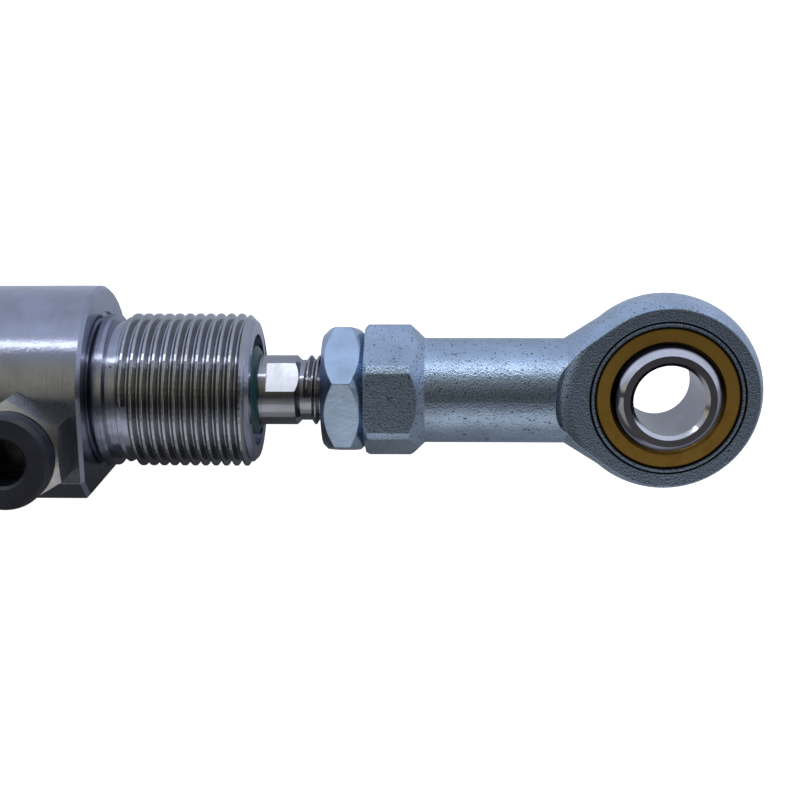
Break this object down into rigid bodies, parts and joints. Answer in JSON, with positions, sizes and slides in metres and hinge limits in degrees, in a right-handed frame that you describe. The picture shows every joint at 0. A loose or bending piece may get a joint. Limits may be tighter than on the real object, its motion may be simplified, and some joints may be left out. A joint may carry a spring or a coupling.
{
  "type": "pneumatic cylinder",
  "caption": "Round double-acting air cylinder with a threaded nose, rear pivot tongue, push-in fitting and a swivelling rod eye on a sliding piston rod.",
  "frame": {"origin": "centre of the front mounting shoulder, where the threaded nose leaves the front cap", "axes": "+X is the way the rod comes out, +Z is the side of the air ports and the axis of both eyes"},
  "size_m": [0.231, 0.029, 0.0384],
  "materials": {
    "cap_aluminium": "anodised, satin",
    "stainless_tube": "drawn tube, brushed",
    "bushing_bronze": "sintered bronze",
    "green_polyurethane": "smooth, dark green",
    "black_rubber": "smooth",
    "cushion_polyurethane": "smooth",
    "nickel_plated_brass": "nickel plated",
    "spring_steel": "bright",
    "dark_plastic": "smooth, dark blue",
    "guide_plastic": "smooth",
    "polished_rod": "ground and polished",
    "piston_aluminium": "turned",
    "magnet": "plain",
    "zinc_steel": "bright zinc plate",
    "forged_zinc_steel": "zinc plate on a blasted forging",
    "race_brass": "turned",
    "liner_plastic": "plain",
    "polished_ball": "hardened and polished"
  },
  "bodies": {
    "cylinder": {"front_cap": "cap_aluminium", "barrel": "stainless_tube", "rear_cap": "cap_aluminium", "rod_bushing": "bushing_bronze", "rod_wiper": "green_polyurethane", "rod_seal": "green_polyurethane", "front_barrel_seal": "black_rubber", "rear_barrel_seal": "black_rubber", "front_buffer": "cushion_polyurethane", "rear_buffer": "cushion_polyurethane", "fitting_body": "nickel_plated_brass", "fitting_gasket": "black_rubber", "fitting_collet": "spring_steel", "fitting_tube_seal": "black_rubber"},
    "release_ring": {"fitting_release_ring": "dark_plastic"},
    "piston_seals": {"piston_seal_front": "green_polyurethane", "piston_seal_rear": "green_polyurethane", "piston_guide_ring": "guide_plastic"},
    "rod": {"piston_rod": "polished_rod", "piston_front_half": "piston_aluminium", "piston_rear_half": "piston_aluminium", "piston_magnet": "magnet", "piston_nut": "zinc_steel", "piston_oring": "black_rubber", "jam_nut": "zinc_steel", "rod_eye": "forged_zinc_steel", "bearing_race": "race_brass"},
    "sliding_liner": {"sliding_liner": "liner_plastic"},
    "ball": {"ball": "polished_ball"}
  },
  "joints": [
    {"name": "rod_slide", "type": "slide", "parent": "cylinder", "child": "piston_seals", "axis": [1, 0, 0], "range_m": [0, 0.05]},
    {"name": "rod_turn", "type": "hinge", "parent": "piston_seals", "child": "rod", "pos_m": [0, 0, 0], "axis": [1, 0, 0], "continuous": true},
    {"name": "eye_swivel", "type": "hinge", "parent": "rod", "child": "sliding_liner", "pos_m": [0.08, 0, 0], "axis": [0, 0, 1], "continuous": true},
    {"name": "ball_tilt", "type": "hinge", "parent": "sliding_liner", "child": "ball", "pos_m": [0.08, 0, 0], "axis": [1, 0, 0], "range_deg": [-13, 13]},
    {"name": "release_ring_push", "type": "slide", "parent": "cylinder", "child": "release_ring", "axis": [0, 0, -1], "range_m": [0, 0.0008], "stiffness_N_per_m": 60}
  ]
}
